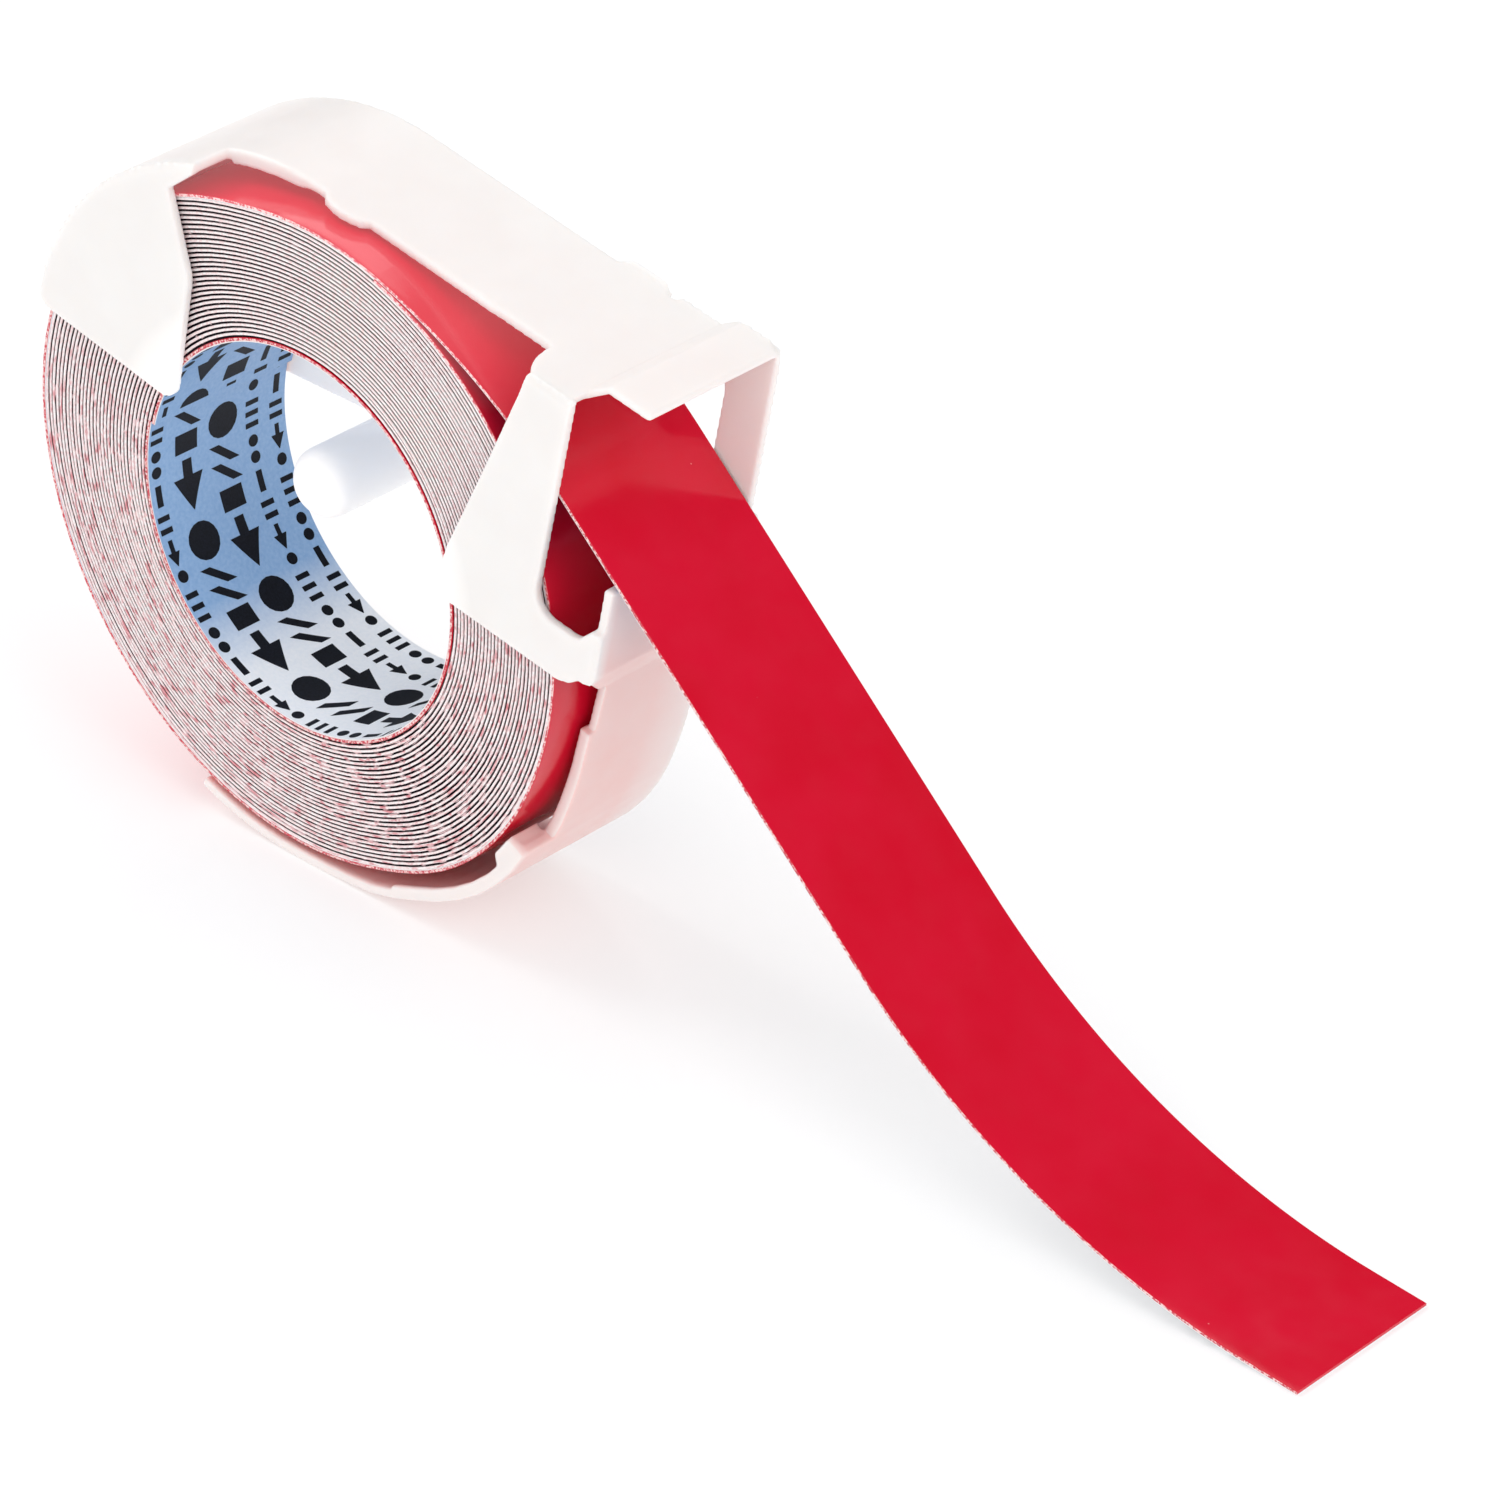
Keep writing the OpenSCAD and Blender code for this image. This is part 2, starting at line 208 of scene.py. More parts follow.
class Shape:
    """Points, faces and each face's material, gathered before they become one mesh."""

    def __init__(self):
        self.points, self.faces, self.kinds, self.uvs = [], [], [], []

    def loft(self, rings, kind=0, uvs=None):
        """Closed tube through rings of equal length, with a flat cap at each end."""
        first, size = len(self.points), len(rings[0])
        for number, ring in enumerate(rings):
            self.points += ring
            self.uvs += uvs[number] if uvs else [(0.0, 0.0)] * size
        made = [list(range(first, first + size))[::-1]]
        for i in range(len(rings) - 1):
            a, b = first + i * size, first + (i + 1) * size
            made += [[a + j, a + (j + 1) % size, b + (j + 1) % size, b + j] for j in range(size)]
        made.append(list(range(len(self.points) - size, len(self.points))))
        self.faces += made
        self.kinds += [kind] * len(made)

    def piece(self, name, materials, **options):
        return make_piece(name, self.points, self.faces, materials, self.kinds, uvs=self.uvs, **options)


# ---- Node materials ----

def add(tree, kind, inputs=None, **settings):
    """Adds a shader node. An input given as another node's socket is linked, and any other is set."""
    node = tree.nodes.new("ShaderNode" + kind)
    for key, value in settings.items():
        setattr(node, key, value)
    for key, value in (inputs or {}).items():
        if isinstance(value, bpy.types.NodeSocket):
            tree.links.new(value, node.inputs[key])
        else:
            node.inputs[key].default_value = value
    return node


def mix(tree, factor, a, b):
    """Colour between a and b."""
    factor_in, a_in, b_in, colour_out = 0, 6, 7, 2
    node = add(tree, "Mix", {factor_in: factor, a_in: a, b_in: b}, data_type="RGBA")
    return node.outputs[colour_out]


def calc(tree, operation, a, b=0.0):
    """Result of a Math node on one or two values."""
    return add(tree, "Math", {0: a, 1: b}, operation=operation).outputs[0]


def fade(tree, value, low, high, to_low=0.0, to_high=1.0):
    """value from low..high as to_low..to_high, held at the ends."""
    inputs = {"Value": value, "From Min": low, "From Max": high, "To Min": to_low, "To Max": to_high}
    return add(tree, "MapRange", inputs).outputs[0]


def grain(tree, where, size_mm, detail=2.0):
    """Noise whose features are about size_mm across, from 0 to 1."""
    inputs = {"Vector": where, "Scale": 1 / (size_mm * MM), "Detail": detail}
    return add(tree, "TexNoise", inputs).outputs["Fac"]


def specks(tree, where, cell_mm, radius_mm, share):
    """Small round specks, one in a share of the cells."""
    cells = add(tree, "TexVoronoi", {"Vector": where, "Scale": 1 / (cell_mm * MM)})
    pick = add(tree, "SeparateColor", {"Color": cells.outputs["Color"]}).outputs[0]
    near = calc(tree, "LESS_THAN", cells.outputs["Distance"], radius_mm / cell_mm)
    return calc(tree, "MULTIPLY", near, calc(tree, "LESS_THAN", pick, share))


def bump(tree, height, strength, depth_mm):
    """Normal of a surface whose relief is up to depth_mm deep."""
    inputs = {"Height": height, "Strength": strength, "Distance": depth_mm * MM}
    return add(tree, "Bump", inputs).outputs[0]


def start_material(name):
    """New node material. Returns it, its tree, and object coordinates in metres."""
    material = bpy.data.materials.new(name)
    material.use_nodes = True
    tree = material.node_tree
    tree.nodes.clear()
    where = add(tree, "TexCoord").outputs["Object"]
    return material, tree, where


def surface(tree, inputs):
    """Ends a material with a Principled shader."""
    shader = add(tree, "BsdfPrincipled", inputs)
    add(tree, "OutputMaterial", {"Surface": shader.outputs[0]})


def product(tree, *values):
    """All the values multiplied together."""
    result = values[0]
    for value in values[1:]:
        result = calc(tree, "MULTIPLY", result, value)
    return result


def parts_of(tree, vector):
    """The three parts of a vector, by the names X, Y and Z."""
    return add(tree, "SeparateXYZ", {"Vector": vector}).outputs


def from_roll_axis(tree, place):
    """Distance from the roll's axis, from the parts of a place."""
    height = calc(tree, "SUBTRACT", place["Z"], ROLL_Z * MM)
    squared = calc(tree, "ADD", calc(tree, "POWER", place["X"], 2.0), calc(tree, "POWER", height, 2.0))
    return calc(tree, "SQRT", squared)


# How far a face's normal lies along the tape's width, from where on it counts as a cut edge.
CUT_EDGE_NORMAL = 0.75


def cut_edge(tree):
    """1 on faces that look along the tape's width, 0 on its broad faces."""
    across = parts_of(tree, add(tree, "TexCoord").outputs["Normal"])["Y"]
    return calc(tree, "GREATER_THAN", calc(tree, "ABSOLUTE", across), CUT_EDGE_NORMAL)


def vinyl_material():
    """Glossy red film. Round the top of the roll it carries painted light: an emission glow standing in for
    the light that the band lets through.
    """
    material, tree, where = start_material("red_vinyl")
    cloudy = fade(tree, grain(tree, where, 9), 0.35, 0.65)
    red = mix(tree, cloudy, (0.660, 0.003, 0.022, 1), (0.700, 0.005, 0.031, 1))
    dust = specks(tree, where, cell_mm=2.6, radius_mm=0.05, share=0.35)
    red = mix(tree, calc(tree, "MULTIPLY", dust, 0.5), red, (0.95, 0.45, 0.45, 1))
    chips = fade(tree, grain(tree, where, 0.16, 3), 0.44, 0.56)
    edge = mix(tree, chips, (0.62, 0.05, 0.08, 1), (0.95, 0.66, 0.64, 1))
    colour = mix(tree, cut_edge(tree), red, edge)
    rough = fade(tree, grain(tree, where, 2.0), 0.3, 0.7, 0.13, 0.19)
    skin = bump(tree, grain(tree, where, 0.12), 0.05, 0.01)
    # Painted light: the top of the roll glows, with an emission that fades in with height above the axis.
    painted_glow_from, painted_glow_full, glow = 15, 19, 0.17
    above = calc(tree, "SUBTRACT", parts_of(tree, where)["Z"], ROLL_Z * MM)
    lit = fade(tree, above, painted_glow_from * MM, painted_glow_full * MM, 0.0, glow)
    surface(tree, {
        "Base Color": colour, "Roughness": rough, "IOR": 1.5, "Normal": skin,
        "Emission Color": (1.0, 0.42, 0.45, 1), "Emission Strength": lit,
    })
    return material


def paper_material():
    """Coated release paper with painted light and shade: bluer in shade round the upper part of the hole,
    and whiter where light falls at its lower right.
    """
    material, tree, where = start_material("liner_paper")
    fibre = fade(tree, grain(tree, where, 0.25, 4), 0.3, 0.7)
    blue = mix(tree, fibre, (0.24, 0.42, 0.70, 1), (0.32, 0.50, 0.76, 1))
    white = mix(tree, fibre, (0.88, 0.91, 0.95, 1), (0.95, 0.96, 0.98, 1))
    # Painted light and shade: the paper is whiter below, where light falls, and bluer above, in shade,
    # along a slanted height.
    painted_lit_below, painted_shade_above, slant = -13.5, -9, 0.35
    place = parts_of(tree, where)
    lean = calc(tree, "SUBTRACT", place["Z"], calc(tree, "MULTIPLY", place["X"], slant))
    paper = mix(tree, fade(tree, lean, painted_lit_below * MM, painted_shade_above * MM, 1, 0), blue, white)
    edge = mix(tree, fibre, (0.86, 0.84, 0.84, 1), (0.97, 0.95, 0.94, 1))
    colour = mix(tree, cut_edge(tree), paper, edge)
    relief = bump(tree, grain(tree, where, 0.1, 3), 0.15, 0.01)
    surface(tree, {"Base Color": colour, "Roughness": 0.42, "Normal": relief})
    return material


def ink_material():
    """Nearly black ink, slightly worn."""
    material, tree, where = start_material("liner_ink")
    worn = fade(tree, grain(tree, where, 0.12, 3), 0.3, 0.8)
    ink = mix(tree, worn, (0.003, 0.004, 0.008, 1), (0.010, 0.012, 0.022, 1))
    surface(tree, {"Base Color": ink, "Roughness": 0.6, "Specular IOR Level": 0.25})
    return material


def along_roll(tree):
    """Coordinates that run along the wound tape, so that streaks follow its turns."""
    return add(tree, "UVMap", uv_map="Along").outputs[0]


def stretched(tree, where, along, across):
    """Coordinates scaled by along and across. A smaller scale draws the grain out longer."""
    return add(tree, "VectorMath", {0: where, 1: (along, across, 1)}, operation="MULTIPLY").outputs[0]


def near_top(tree):
    """1 at the top of the roll's side, where its turns are cleanest, falling to 0 below its middle."""
    height = parts_of(tree, add(tree, "TexCoord").outputs["Object"])["Z"]
    lowest, highest = -6, 14
    return fade(tree, height, lowest * MM, highest * MM)


def turn_edge_material():
    """Cut edges of the wound vinyl: white, with fine pink grain and a few red streaks."""
    material, tree, _ = start_material("turn_edge")
    where = along_roll(tree)
    fine = fade(tree, grain(tree, stretched(tree, where, 0.5, 1.0), 0.16, 3), 0.40, 0.62)
    pale = mix(tree, fine, (1.0, 0.95, 0.95, 1), (0.95, 0.72, 0.72, 1))
    streak = fade(tree, grain(tree, stretched(tree, where, 0.22, 1.0), 0.30, 3), 0.54, 0.66)
    calm = fade(tree, near_top(tree), 0.1, 0.8, 0.80, 0.05)
    red = mix(tree, fine, (0.80, 0.22, 0.26, 1), (0.60, 0.05, 0.09, 1))
    colour = mix(tree, calc(tree, "MULTIPLY", streak, calm), pale, red)
    surface(tree, {"Base Color": colour, "Roughness": 0.45})
    return material


def turn_gap_material():
    """Liner edges and the gaps beside them: partly the liner's dark edge and partly painted shadow in the
    gaps between turns, nearly black, with pale breaks that grow towards the bottom.
    """
    material, tree, _ = start_material("gap_shade")
    where = along_roll(tree)
    noisy = grain(tree, stretched(tree, where, 0.16, 1.0), 0.26, 3)
    held_back = fade(tree, near_top(tree), 0, 1, 0.0, 0.10)
    breaks = fade(tree, calc(tree, "SUBTRACT", noisy, held_back), 0.56, 0.62)
    # Painted shadow: near-black for the gaps between turns, with pale breaks.
    colour = mix(tree, breaks, (0.008, 0.003, 0.008, 1), (0.84, 0.62, 0.63, 1))
    surface(tree, {"Base Color": colour, "Roughness": 0.7, "Specular IOR Level": 0.1})
    return material


def red_behind(tree, where):
    """How much painted red light shows through the walls: most in the front wall and the band under the
    roll, which are in shade, less high up and on the far side.
    """
    place = parts_of(tree, where)
    far_off = fade(tree, place["Y"], 2 * MM, 6 * MM, 1.0, 0.4)
    inner_r, outer_r = 19.5, 21.5
    outside = fade(tree, from_roll_axis(tree, place), inner_r * MM, outer_r * MM)
    across = calc(tree, "ABSOLUTE", place["Y"])
    over_tape = fade(tree, across, (HALF_W - 0.5) * MM, (HALF_W + 0.5) * MM, 1.0, 0.12)
    # Painted light: the tint fades out higher up, where light from above washes the walls white.
    full_below, least_above = -2, 12
    low_down = fade(tree, place["Z"], full_below * MM, least_above * MM, 1.0, 0.10)
    patchy = fade(tree, grain(tree, where, 4, 2), 0.3, 0.7, 0.80, 0.95)
    faces_tape = fade(tree, cut_edge(tree), 0, 1, 1.0, 0.35)
    return product(tree, over_tape, low_down, far_off, patchy, outside, faces_tape)


def lit_within(tree, where):
    """Painted glow on the thick peg and its arm, as if they carried light out of the hole. It fades out
    under the roll.
    """
    full_r, none_r, glow = 12, 16, 0.28
    return fade(tree, from_roll_axis(tree, parts_of(tree, where)), full_r * MM, none_r * MM, glow, 0.0)


def holder_material():
    """Natural translucent moulding: light goes through its thin walls, and the red it picks up behind is
    painted into its colour.
    """
    material, tree, where = start_material("holder_plastic")
    milk = fade(tree, grain(tree, where, 5), 0.35, 0.65)
    clear = mix(tree, milk, (0.900, 0.870, 0.848, 1), (0.920, 0.893, 0.872, 1))
    # Painted light: a pink tint where red light from the tape would come through the wall.
    colour = mix(tree, red_behind(tree, where), clear, (0.92, 0.60, 0.57, 1))
    flow = grain(tree, stretched(tree, where, 1.0, 0.4), 0.9, 3)
    fine = grain(tree, where, 0.14, 2)
    relief = calc(tree, "ADD", flow, calc(tree, "MULTIPLY", fine, 0.25))
    rough = fade(tree, grain(tree, where, 1.6), 0.3, 0.7, 0.34, 0.44)
    surface(tree, {
        "Base Color": colour, "Roughness": rough, "IOR": 1.49,
        "Subsurface Weight": 1.0, "Subsurface Radius": (1.0, 0.95, 0.9), "Subsurface Scale": 0.30 * MM,
        "Normal": bump(tree, relief, 0.08, 0.05),
        # Painted light: the peg and arm glow where they stand in the hole.
        "Emission Color": (1.0, 0.95, 0.92, 1), "Emission Strength": lit_within(tree, where),
    })
    return material


VINYL = vinyl_material()
PAPER = paper_material()
INK = ink_material()
TURN_EDGE = turn_edge_material()
GAP_SHADE = turn_gap_material()
PLASTIC = holder_material()

# ---- Holder: one moulding, fused from the CAD's regions, with rounded edges ----

HOLDER_NODES = [
    "upper_band", "roof_plate", "mouth_cap", "near_ear", "near_cheek", "far_cheek",
    "front_wall", "lower_band_front", "lower_band_bottom", "hub_arm", "hub_peg",
]


WELD = 0.002
VOXEL = 0.13
KEPT_SHARE = 0.22


def copy_of(node):
    """Welded copy of a CAD node's mesh, as a new object."""
    copy = bpy.data.objects.new("part_" + node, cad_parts[node].data.copy())
    bpy.context.scene.collection.objects.link(copy)
    shell = bmesh.new()
    shell.from_mesh(copy.data)
    bmesh.ops.remove_doubles(shell, verts=shell.verts, dist=WELD * MM)
    shell.to_mesh(copy.data)
    shell.free()
    return copy


def apply_modifiers(piece):
    """Turns what the modifiers show into the piece's own mesh."""
    graph = bpy.context.evaluated_depsgraph_get()
    mesh = bpy.data.meshes.new_from_object(piece.evaluated_get(graph))
    piece.modifiers.clear()
    piece.data = mesh


def fuse(name, nodes):
    """One closed solid out of CAD nodes that meet face to face."""
    whole = copy_of(nodes[0])
    whole.name = name
    for node in nodes[1:]:
        part = copy_of(node)
        union = whole.modifiers.new("union", "BOOLEAN")
        union.operation, union.solver, union.object = "UNION", "EXACT", part
        apply_modifiers(whole)
        bpy.data.objects.remove(part)
    return whole


# Outer line of the walls, seen from the side: an arc over the back, then straight runs in the tilted
# frame of the roof, as (along the roof, square to it). The side plates meet the walls along it.
SIDE_Y = 6.85
RIM_R = 0.6
TILT = 10
BACK_C, BACK_R = (-3.66, 4.47), 19.3
ROOF_H = BACK_R + BACK_C[0] * sin(TILT) + BACK_C[1] * cos(TILT)
ROOF_LINE = [(19.6, ROOF_H), (21.1, 24.15), (24.45, 24.15), (24.45, 12.2)]
WALL_LINE = [(25.1, 12.0), (25.1, 5.6), (23.4, 2.5)]


def untilted(u, h):
    """Turns a point of the roof's tilted frame into x and z from the roll's axis."""
    return (u * cos(TILT) + h * sin(TILT), -u * sin(TILT) + h * cos(TILT))


def outer_lines():
    """The two runs of the outer line, in millimetres, as lists of (x, z)."""
    back = [(BACK_C[0] + BACK_R * cos(a), BACK_C[1] + BACK_R * sin(a)) for a in spread(168, 90 - TILT, 2)]
    over = back + [untilted(*p) for p in ROOF_LINE]
    front = [untilted(*p) for p in WALL_LINE]
    return [[Vector((x, z + ROLL_Z)) for x, z in line] for line in (over, front)]


def depth_from(point, lines):
    """Distance from a point to the nearest outer line, and the way out towards it."""
    best, way, on_line = RIM_R, None, 1e-6
    for line in lines:
        for a, b in zip(line, line[1:]):
            run = b - a
            share = min(1.0, max(0.0, (point - a).dot(run) / run.length_squared))
            gap = a + run * share - point
            if gap.length < best:
                best = gap.length
                way = gap.normalized() if best > on_line else Vector((-run.y, run.x)).normalized()
    return best, way


def round_rims(mesh):
    """Rolls the corner over where a side plate meets an outer wall, to a radius of RIM_R."""
    lines = outer_lines()
    for vertex in mesh.vertices:
        x, y, z = vertex.co / MM
        side_depth = SIDE_Y - abs(y)
        if side_depth >= RIM_R:
            continue
        wall_depth, way = depth_from(Vector((x, z)), lines)
        corner = Vector((RIM_R - side_depth, RIM_R - wall_depth))
        if way is None or corner.length <= RIM_R:
            continue
        rolled = corner.normalized() * RIM_R
        inward = corner.y - rolled.y
        side = math.copysign(SIDE_Y - RIM_R + rolled.x, y)
        vertex.co = Vector((x - way.x * inward, side, z - way.y * inward)) * MM


def build_holder():
    """Fused, remeshed finely enough to soften every edge, then thinned where it is flat."""
    holder = fuse("holder_moulding", HOLDER_NODES)
    remesh = holder.modifiers.new("remesh", "REMESH")
    remesh.mode, remesh.voxel_size = "VOXEL", VOXEL * MM
    apply_modifiers(holder)
    round_rims(holder.data)
    soften = holder.modifiers.new("soften", "SMOOTH")
    soften.factor, soften.iterations = 0.5, 5
    thin = holder.modifiers.new("thin", "DECIMATE")
    thin.ratio = KEPT_SHARE
    apply_modifiers(holder)
    holder.data.materials.clear()
    holder.data.materials.append(PLASTIC)
    for polygon in holder.data.polygons:
        polygon.use_smooth = True
        polygon.material_index = 0
    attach(holder, "holder")
    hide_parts(*HOLDER_NODES)


# ---- Roll ----

# Across one turn, from its red face inwards: depth, and how far the edge stands back from the full width.
TURN_PROFILE = [(0.0, 0.10), (0.015, 0.0), (0.145, 0.0), (0.16, 0.06), (0.18, 0.10), (0.275, 0.10)]
VINYL_BANDS = 3


def wander(laps, side):
    """How far the edge of a turn lies back from true, which drifts along the tape."""
    average, drift, apart = 0.035, 5.3, 11.0
    return average * (1 + noise.noise(Vector((laps * drift, apart * side, 0.5))))


def build_wound_turns():
    """The turns between the innermost and the outermost, as one solid whose sides show every turn."""
    last = WOUND_STEPS
    edge, gap, red_face, paper_face = range(4)
    shape = Shape()
    index = {}
    for side in (-1, 1):
        for i in range(last + STEPS_PER_LAP + 1):
            laps = 1 + i / STEPS_PER_LAP
            for p, (depth, back) in enumerate(TURN_PROFILE if i <= last else TURN_PROFILE[:1]):
                slack = wander(laps, side) if p else 0.0
                index[side, i, p] = len(shape.points)
                shape.points.append(on_roll(laps, side * (HALF_W - back - slack), depth))
                shape.uvs.append((2 * math.pi * ROLL_R * laps * MM, (laps * PITCH + depth) * MM))
    size = len(TURN_PROFILE)
    for side in (-1, 1):
        for i in range(last):
            for p in range(size):
                j, q = (i, p + 1) if p + 1 < size else (i + STEPS_PER_LAP, 0)
                shape.faces.append([index[side, a, b] for a, b in ((i, p), (i + 1, p), (j + 1, q), (j, q))])
                # Faces past the vinyl bands get the near-black painted shade of the gaps between turns.
                shape.kinds.append(edge if p < VINYL_BANDS else gap)
    for start, kind in ((0, red_face), (last, paper_face)):
        for i in range(start, start + STEPS_PER_LAP):
            shape.faces.append([index[a] for a in ((-1, i, 0), (-1, i + 1, 0), (1, i + 1, 0), (1, i, 0))])
            shape.kinds.append(kind)
        near = [index[-1, start, p] for p in range(size)] + [index[-1, start + STEPS_PER_LAP, 0]]
        far = [index[1, start, p] for p in range(size)] + [index[1, start + STEPS_PER_LAP, 0]]
        shape.faces.append(near + far[::-1])
        shape.kinds.append(edge)
    turns = shape.piece("wound_tape", [TURN_EDGE, GAP_SHADE, VINYL, PAPER])
    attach(turns, "roll")
    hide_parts("wound_turns")


# Outlines of the two layers, as (y, depth) pairs going round. The vinyl's long edges droop slightly.
LINER_BACK = 0.03
VINYL_TOP = [(-6.0, 0.045), (-5.97, 0.02), (-5.8, 0.010), (-5.4, 0.003), (-4.6, 0.0)]
VINYL_OUTLINE = (
    VINYL_TOP + [(0.0, 0.0)] + [(-y, d) for y, d in VINYL_TOP[::-1]]
    + [(HALF_W, VINYL_T - 0.001), (-HALF_W, VINYL_T - 0.001)]
)
LINER_SIDE = HALF_W - LINER_BACK
LINER_OUTLINE = [
    (-LINER_SIDE, VINYL_T), (LINER_SIDE, VINYL_T), (LINER_SIDE, TAPE_T), (-LINER_SIDE, TAPE_T)
]


def layer(shape, outline, stations, place, kind=0):
    """One layer of the tape along stations, on the roll or on the free path."""
    shape.loft([[place(s, y, d) for y, d in outline] for s in stations], kind)


# Printed marks on the liner, in cells along the tape. A mark is a strip, as (along, low edge, high edge).
MARK_LIFT = 0.010
MARK_SUNK = 0.02
MARK_STEP = 0.25
MARK_MARGIN = 0.3
MARK_CELL = 12.0


def strip(a0, a1, low0, low1, high0, high1):
    """Mark between two straight edges."""
    places = spread(a0, a1, MARK_STEP)
    shares = [(a - a0) / (a1 - a0) for a in places]
    return [(a, low0 + (low1 - low0) * t, high0 + (high1 - high0) * t) for a, t in zip(places, shares)]


def bar(a0, a1, low, high):
    """Mark with square ends."""
    return strip(a0, a1, low, low, high, high)


def disc(a, mid, radius):
    """Round mark about a, with ends blunt enough to be a solid."""
    blunt = 0.01
    turns = [(a - radius * cos(t), radius * sin(t)) for t in spread(0, 180, 20)]
    return [(along, mid - half - blunt, mid + half + blunt) for along, half in turns]


def arrow(a, low, high, length, thick):
    """Two marks: a shaft from a, and a head whose tip is length further on."""
    mid, head, blunt = (low + high) / 2, 0.9 * (high - low), 0.02
    tip = a + length
    return [
        bar(a, tip - head, mid - thick / 2, mid + thick / 2),
        strip(tip - head, tip, low, mid - blunt, high, mid + blunt),
    ]


def big_row(a, low, high):
    """Bold marks, 12 mm of tape: an arrow, a disc, two slanted bars and a block."""
    tall, mid, slant, thick = high - low, (low + high) / 2, 1.3, 0.85
    return arrow(a, low, high, 3.4, 0.8) + [
        disc(a + 4.2 + tall / 2, mid, tall / 2),
        strip(a + 7.1, a + 7.1 + slant, low, high - thick, low + thick, high),
        strip(a + 8.4, a + 8.4 + slant, low, high - thick, low + thick, high),
        bar(a + 10.1, a + 11.5, low + 0.3, high - 0.3),
    ]


def small_row(a, low, high):
    """Fine marks, 12 mm of tape: dashes, dots, ticks and a small arrow."""
    thin, mid = 0.36, (low + high) / 2
    marks = [bar(a + k, a + k + thin, low, high) for k in (0, 0.8, 1.6, 6.9, 7.7)]
    marks += [disc(a + k, mid, 0.4) for k in (2.9, 4.0, 10.9)]
    marks.append(bar(a + 4.9, a + 6.3, mid - 0.25, mid + 0.25))
    return marks + arrow(a + 8.5, low, high, 1.7, thin)


# Rows of marks across the tape: what is in the row, its low and high edge, and where its first cell starts.
PRINT_ROWS = [
    (small_row, -5.8, -4.8, 0.0), (big_row, -3.95, -1.45, 4.0),
    (big_row, -0.75, 1.75, 9.0), (small_row, 2.5, 3.6, 2.0), (small_row, 4.6, 5.7, 8.0),
]


def slab(place, along, low, high):
    """Section of a mark: a thin slab of ink, sunk a little into the liner's back."""
    corners = ((low, -MARK_SUNK), (high, -MARK_SUNK), (high, MARK_LIFT), (low, MARK_LIFT))
    return [place(along, y, TAPE_T + depth) for y, depth in corners]


def printed(shape, start, end, place):
    """Prints the rows on the liner's back between two places. Ink is the shape's second material."""
    for row, low, high, offset in PRINT_ROWS:
        a = start + offset - MARK_CELL
        while a < end:
            for mark in row(a, low, high):
                inside = [m for m in mark if start + MARK_MARGIN < m[0] < end - MARK_MARGIN]
                if len(inside) > 1:
                    shape.loft([slab(place, *m) for m in inside], 1)
            a += MARK_CELL


def build_roll_ends():
    """The outermost turn, and the innermost turn with its printed face and free end."""
    outer = Shape()
    layer(outer, VINYL_OUTLINE, spread(0, 1, 1 / STEPS_PER_LAP), on_roll)
    layer(outer, LINER_OUTLINE, spread(0, 1, 1 / STEPS_PER_LAP), on_roll, 1)
    outer = outer.piece("outer_turn_tape", [VINYL, PAPER])
    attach(outer, "roll")
    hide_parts("outer_turn")

    inner = Shape()
    stations = spread(LAPS - 1, LAPS, 1 / INNER_STEPS)
    layer(inner, VINYL_OUTLINE, stations, on_roll, 2)
    layer(inner, LINER_OUTLINE, stations, on_roll)
    around = 2 * math.pi * HOLE_R
    printed(inner, (LAPS - 1) * around, LAPS * around, lambda a, y, d: on_roll(a / around, y, d))
    inner = inner.piece("inner_turn_tape", [PAPER, INK, VINYL])
    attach(inner, "roll")
    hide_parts("inner_turn")


# ---- Free tape: a lead through the mouth, and stretches that each reach across a hinge ----

PATH_STEP = 0.5
BEND_HALF = 3.0


def at(s):
    """Point in the middle of the free tape, in metres."""
    return Vector(on_path(s, 0, TAPE_T / 2)) * MM


def build_stretch(name, start, end, bodies, bend, nodes):
    """Vinyl and liner between two distances. Without a bend it rides on the first body; with one it is left
    unattached.
    """
    stations = spread(start, end, PATH_STEP)
    vinyl, liner = Shape(), Shape()
    layer(vinyl, VINYL_OUTLINE, stations, on_path)
    layer(liner, LINER_OUTLINE, stations, on_path)
    printed(liner, start, end, on_path)
    pieces = (
        ("vinyl", "red_vinyl", vinyl.piece(name + "_vinyl_tape", [VINYL])),
        ("liner", "liner_paper", liner.piece(name + "_liner_tape", [PAPER, INK])),
    )
    for kind, slot, piece in pieces:
        if bend:
            at(bend[0])
            at(bend[1])
            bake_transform(piece)
        else:
            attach(piece, bodies[0])
        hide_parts(*[node.format(kind) for node in nodes])


def build_free_tape():
    """The lead, and the stretches behind it, each from the middle of one link to the middle of the next."""
    def hinge(k):
        return LEAD_END + k * TAIL_STEP

    def middle(k):
        return LEAD_END + (k - 0.5) * TAIL_STEP

    build_stretch("lead", 0, middle(1), ("holder", "tail_1"), (LEAD_START, LEAD_END), ["lead_{}"])
    for k in range(1, TAIL_COUNT):
        bend = (hinge(k) - BEND_HALF, hinge(k) + BEND_HALF)
        bodies = (f"tail_{k}", f"tail_{k + 1}")
        build_stretch(f"tail_{k}", middle(k), middle(k + 1), bodies, bend, ["tail_{}_" + str(k)])
    last = TAIL_COUNT
    build_stretch(f"tail_{last}", middle(last), PATH_LEN, (f"tail_{last}",), None, ["tail_{}_" + str(last)])


# ---- Floor, light and camera ----

def build_floor():
    """White table. It glows a little, so that it reads as plain white all round."""
    half, glow = 2500, 0.34
    material, tree, where = start_material("floor")
    paper = mix(tree, grain(tree, where, 40), (0.67, 0.67, 0.67, 1), (0.69, 0.69, 0.69, 1))
    surface(tree, {
        "Base Color": paper, "Roughness": 0.9, "Specular IOR Level": 0.0,
        "Emission Color": (1, 1, 1, 1), "Emission Strength": glow,
    })
    corners = [(x, y, GROUND_Z) for x, y in ((-half, -half), (half, -half), (half, half), (-half, half))]
    floor = make_piece("floor", corners, [(0, 1, 2, 3)], [material])


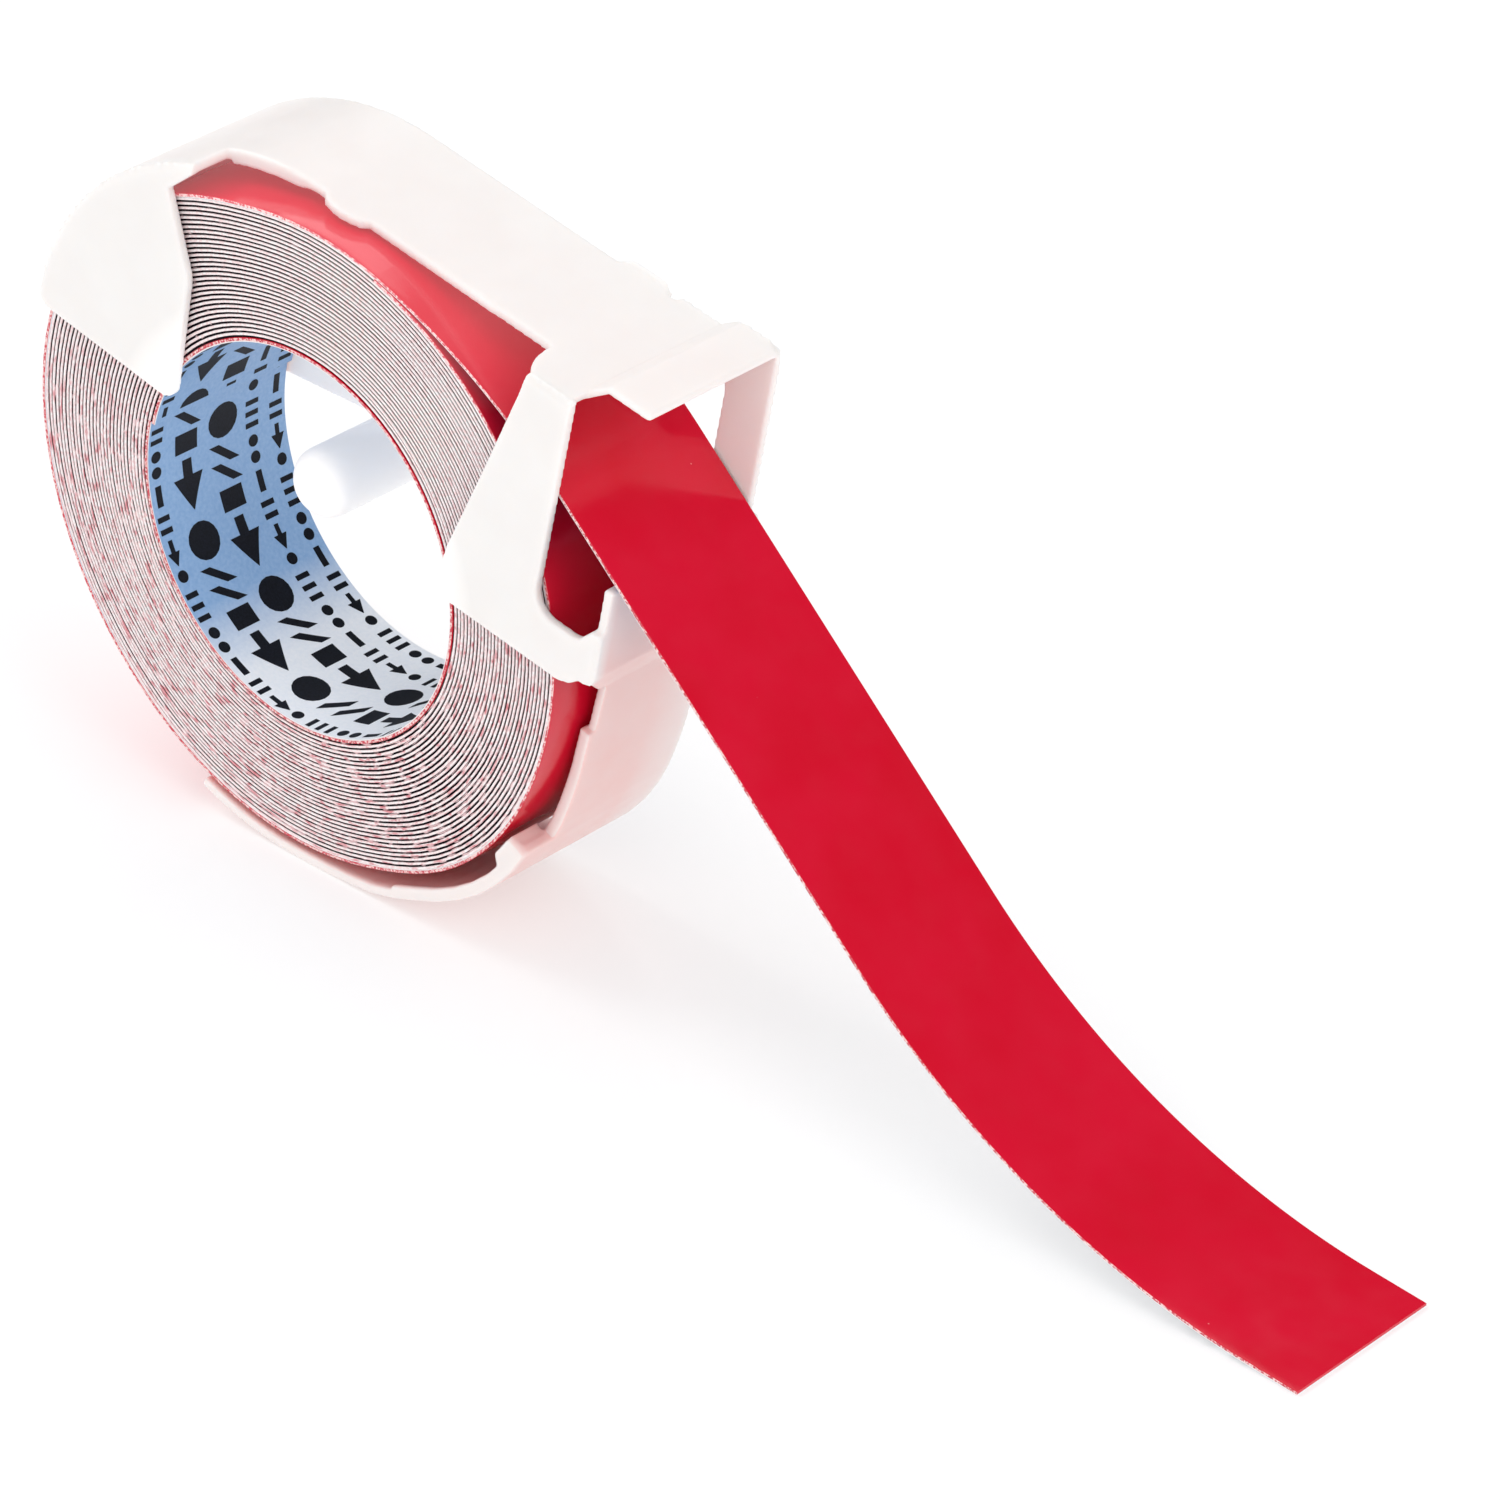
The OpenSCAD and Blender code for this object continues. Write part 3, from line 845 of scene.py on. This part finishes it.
def softbox(name, place, target, width, height, watts, turn=0):
    """Rectangular light at place, facing target and turned about that line. Lengths are millimetres."""
    light = bpy.data.lights.new(name, "AREA")
    light.shape, light.size, light.size_y, light.energy = "RECTANGLE", width * MM, height * MM, watts
    lamp = bpy.data.objects.new(name, light)
    lamp.location = Vector(place) * MM
    facing = (Vector(target) - Vector(place)).to_track_quat("-Z", "Y")
    spun = Quaternion((0, 0, 1), math.radians(turn))
    lamp.rotation_euler = (facing @ spun).to_euler()
    bpy.context.scene.collection.objects.link(lamp)


def build_light():
    """Soft white surroundings, dim in reflections, and four soft boxes."""
    lit, mirrored = 0.80, 0.03
    world = bpy.data.worlds.new("studio")
    bpy.context.scene.world = world
    world.use_nodes = True
    tree = world.node_tree
    tree.nodes.clear()
    glossy = add(tree, "LightPath").outputs["Is Glossy Ray"]
    level = fade(tree, glossy, 0, 1, lit, mirrored)
    sky = add(tree, "Background", {"Color": (0.985, 0.99, 1.0, 1), "Strength": level})
    add(tree, "OutputWorld", {"Surface": sky.outputs[0]})
    centre = (10, 0, -5)
    softbox("key_left", (-330, -60, 330), centre, 260, 260, 0.52)
    softbox("fill_near", (230, -430, 260), centre, 360, 300, 0.35)
    softbox("fill_right", (420, -80, 330), centre, 260, 260, 0.38)
    softbox("card_back", (-240, 330, 380), (-240, 0, 380), 380, 110, 0.28, turn=-40)


def build_camera():
    """Camera at a direction and distance from its target, rolled a little. Angles are degrees."""
    azimuth, elevation, roll, distance = 41.475, 31.768, 1.738, 442.2
    target = Vector((24.17, 9.36, -14.52))
    focal_length, sensor = 171.45, 36.0
    back = Vector((sin(azimuth) * cos(elevation), -cos(azimuth) * cos(elevation), sin(elevation)))
    level = Vector((cos(azimuth), sin(azimuth), 0))
    upright = back.cross(level)
    right = level * cos(roll) + upright * sin(roll)
    up = back.cross(right)
    data = bpy.data.cameras.new("camera")
    data.lens, data.sensor_width = focal_length, sensor
    data.clip_start, data.clip_end = 0.01, 20
    camera = bpy.data.objects.new("camera", data)
    matrix = camera.matrix_world.copy()
    for column, axis in enumerate((right, up, back)):
        for row in range(3):
            matrix[row][column] = axis[row]
    matrix.translation = (target + back * distance) * MM
    camera.matrix_world = matrix
    bpy.context.scene.collection.objects.link(camera)
    bpy.context.scene.camera = camera
    bpy.context.scene.view_settings.view_transform = "Standard"


build_camera()
build_light()
build_floor()
build_holder()
build_wound_turns()
build_roll_ends()
build_free_tape()
